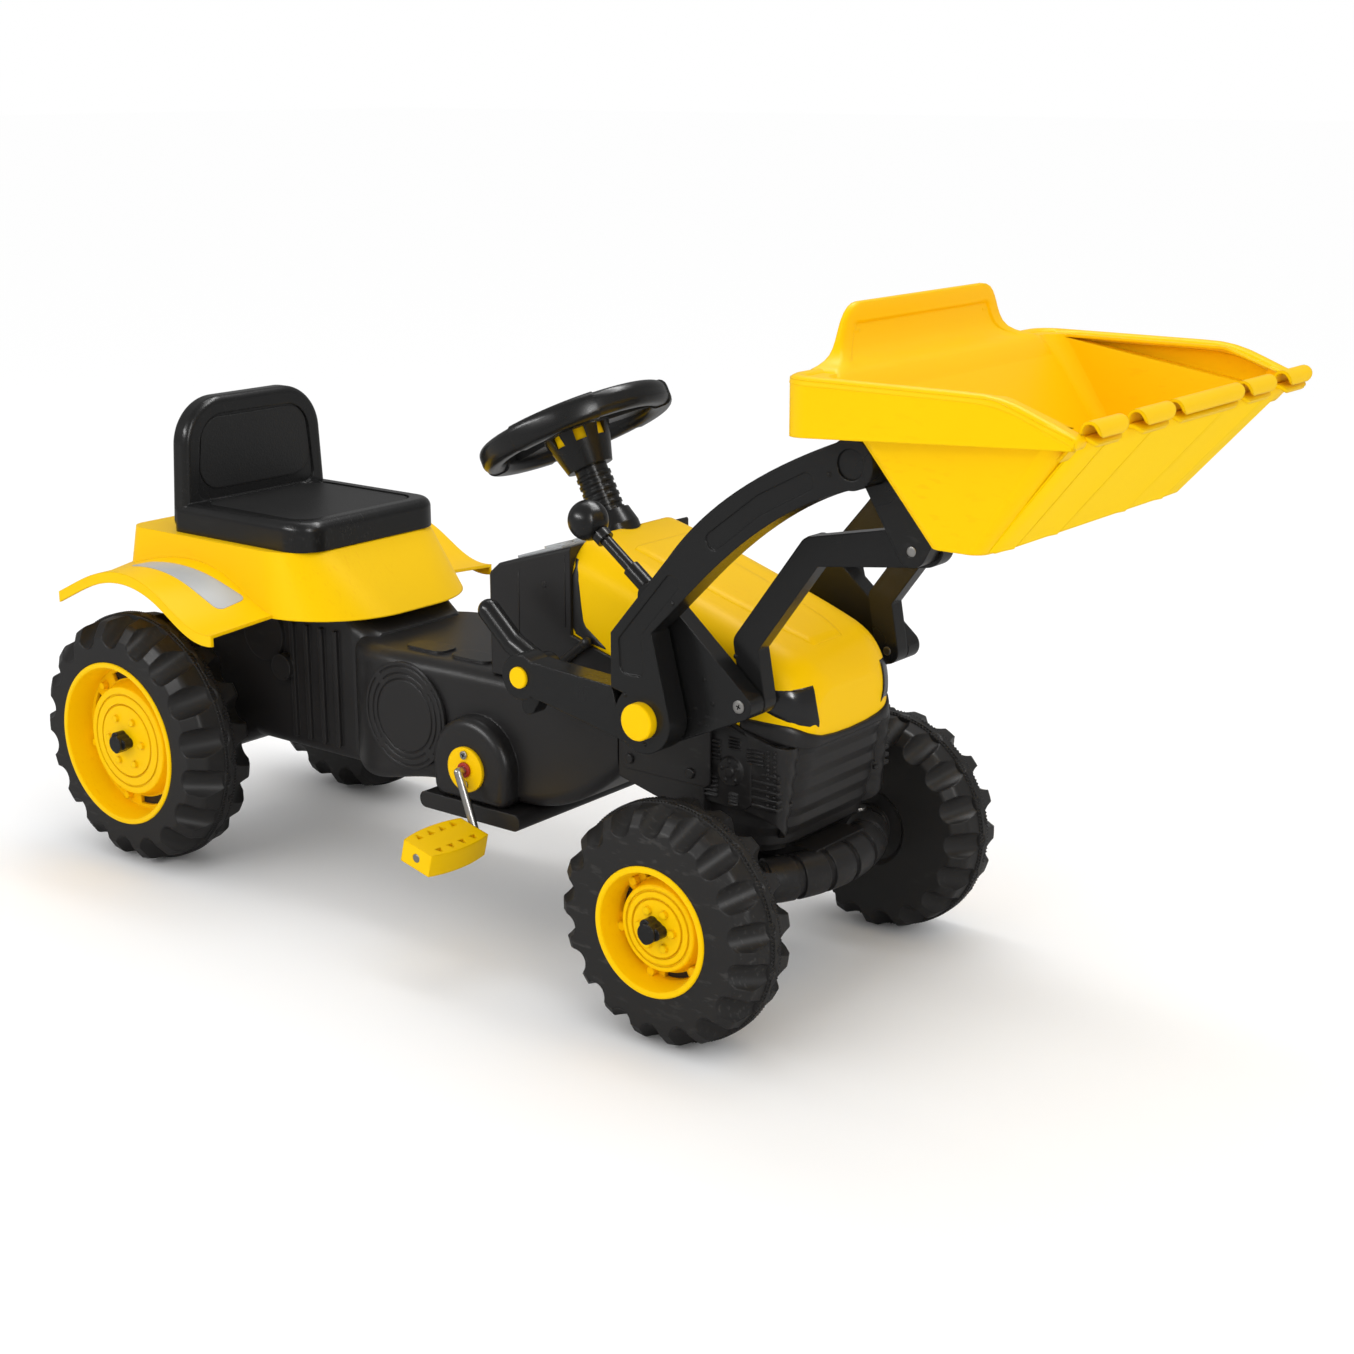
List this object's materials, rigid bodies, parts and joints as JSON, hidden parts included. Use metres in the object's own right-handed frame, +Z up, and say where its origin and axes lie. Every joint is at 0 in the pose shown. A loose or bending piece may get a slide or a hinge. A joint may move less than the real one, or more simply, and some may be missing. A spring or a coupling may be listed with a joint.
{
  "type": "ride-on pedal tractor with front loader",
  "caption": "Child's ride-on toy tractor with chain-driven pedals, steered front wheels, a moulded seat, and a front loader whose bucket is raised by hand grips and tipped by a ball lever.",
  "frame": {"origin": "on the ground, under the middle of the toy's overall length and width", "axes": "+X forward towards the bucket, +Y to the rider's left, +Z up"},
  "size_m": [1.5086, 0.512, 0.7566],
  "materials": {
    "black_satin": "satin, finely grained",
    "black_gloss": "smooth",
    "yellow_gloss": "smooth",
    "steel": "drawn",
    "silver_grey": "satin",
    "tyre_black": "moulded",
    "red_bush": "moulded",
    "charcoal": "smooth"
  },
  "bodies": {
    "chassis": {"chassis_hull": "black_satin", "bottom_guard": "black_satin", "side_covers": "black_satin", "crank_bearings": "yellow_gloss", "crank_bushes": "red_bush", "axle_bushes": "black_satin", "housing_screws": "steel", "drive_chain": "steel", "seat_platform": "yellow_gloss", "seat": "black_gloss", "hood": "yellow_gloss", "headlights": "charcoal", "dashboard": "black_satin", "instrument_plate": "silver_grey", "engine_housing": "black_satin", "front_bumper": "black_satin", "front_axle_beam": "black_satin", "kingpins": "steel", "column_collar": "black_gloss", "loader_brackets": "black_satin"},
    "crank": {"crankshaft": "steel", "crank_sprocket": "steel"},
    "right_pedal": {"pedal_right": "yellow_gloss"},
    "left_pedal": {"pedal_left": "yellow_gloss"},
    "drive_axle": {"rear_axle": "steel", "axle_sprocket": "steel", "rear_right_tyre": "tyre_black", "rear_right_rim": "yellow_gloss", "rear_right_hub_cap": "black_gloss"},
    "rear_left_wheel": {"rear_left_tyre": "tyre_black", "rear_left_rim": "yellow_gloss", "rear_left_hub_cap": "black_gloss"},
    "steering": {"steering_wheel": "black_gloss", "steering_hub": "black_gloss", "horn_ring": "yellow_gloss", "column_sleeve": "black_gloss", "steering_column": "steel"},
    "right_knuckle": {"knuckle_right": "steel"},
    "left_knuckle": {"knuckle_left": "steel"},
    "track_rod": {"tie_rod": "steel"},
    "front_right_wheel": {"front_right_tyre": "tyre_black", "front_right_rim": "yellow_gloss", "front_right_hub_cap": "black_gloss"},
    "front_left_wheel": {"front_left_tyre": "tyre_black", "front_left_rim": "yellow_gloss", "front_left_hub_cap": "black_gloss"},
    "boom": {"boom_left": "black_gloss", "boom_right": "black_gloss", "pivot_shaft": "steel", "pivot_caps": "yellow_gloss", "loader_grips": "black_gloss", "boom_pins": "black_gloss"},
    "tilt_lever": {"tilt_plates": "black_gloss", "lever_rod": "black_gloss", "ball_knob": "black_gloss", "link_pins": "steel"},
    "link": {"tilt_links": "black_gloss"},
    "bucket": {"bucket": "yellow_gloss", "bucket_brackets": "black_gloss", "bucket_pins": "steel"}
  },
  "joints": [
    {"name": "crank_spin", "type": "hinge", "parent": "chassis", "child": "crank", "pos_m": [-0.07231, 0, 0.208], "axis": [0, 1, 0], "continuous": true},
    {"name": "right_pedal_spin", "type": "hinge", "parent": "crank", "child": "right_pedal", "pos_m": [-0.04062, -0.164, 0.14003], "axis": [0, 1, 0], "continuous": true},
    {"name": "left_pedal_spin", "type": "hinge", "parent": "crank", "child": "left_pedal", "pos_m": [-0.10401, 0.164, 0.27597], "axis": [0, 1, 0], "continuous": true},
    {"name": "axle_spin", "type": "hinge", "parent": "chassis", "child": "drive_axle", "pos_m": [-0.59231, 0, 0.162], "axis": [0, 1, 0], "continuous": true},
    {"name": "rear_left_wheel_spin", "type": "hinge", "parent": "drive_axle", "child": "rear_left_wheel", "pos_m": [-0.59231, 0.185, 0.162], "axis": [0, 1, 0], "continuous": true},
    {"name": "steering_turn", "type": "hinge", "parent": "chassis", "child": "steering", "pos_m": [-0.01831, 0, 0.594], "axis": [-0.4602, 0, 0.8878], "range_deg": [-40, 40]},
    {"name": "right_knuckle_turn", "type": "hinge", "parent": "chassis", "child": "right_knuckle", "pos_m": [0.28769, -0.14, 0.132], "axis": [0, 0, 1], "range_deg": [-18.62, 18.62]},
    {"name": "left_knuckle_turn", "type": "hinge", "parent": "chassis", "child": "left_knuckle", "pos_m": [0.28769, 0.14, 0.132], "axis": [0, 0, 1], "range_deg": [-18.62, 18.62]},
    {"name": "track_rod_slide", "type": "slide", "parent": "chassis", "child": "track_rod", "axis": [0, -1, 0], "range_m": [-0.0195, 0.0195]},
    {"name": "front_right_wheel_spin", "type": "hinge", "parent": "right_knuckle", "child": "front_right_wheel", "pos_m": [0.28769, -0.207, 0.132], "axis": [0, 1, 0], "continuous": true},
    {"name": "front_left_wheel_spin", "type": "hinge", "parent": "left_knuckle", "child": "front_left_wheel", "pos_m": [0.28769, 0.207, 0.132], "axis": [0, 1, 0], "continuous": true},
    {"name": "loader_lift", "type": "hinge", "parent": "chassis", "child": "boom", "pos_m": [0.23769, 0, 0.339], "axis": [0, 1, 0], "range_deg": [0, 60]},
    {"name": "bucket_tilt_lever", "type": "hinge", "parent": "boom", "child": "tilt_lever", "pos_m": [0.23769, 0, 0.339], "axis": [0, -1, 0], "range_deg": [-22, 8]},
    {"name": "link_swing", "type": "hinge", "parent": "tilt_lever", "child": "link", "pos_m": [0.33585, 0, 0.36306], "axis": [0, -1, 0], "range_deg": [-12, 31.25]},
    {"name": "bucket_tilt", "type": "hinge", "parent": "boom", "child": "bucket", "pos_m": [0.48864, 0, 0.63492], "axis": [0, -1, 0], "range_deg": [-18.6, 7.4]}
  ],
  "couplings": [
    {"joint": "axle_spin", "follows": "crank_spin", "ratio": 1.2857},
    {"joint": "right_knuckle_turn", "follows": "steering_turn", "ratio": 0.45303},
    {"joint": "left_knuckle_turn", "follows": "steering_turn", "ratio": 0.45303},
    {"joint": "track_rod_slide", "follows": "steering_turn", "m_per_rad": 0.027622},
    {"joint": "bucket_tilt", "follows": "bucket_tilt_lever", "ratio": 0.8},
    {"joint": "link_swing", "follows": "bucket_tilt_lever", "ratio": -1.375}
  ]
}
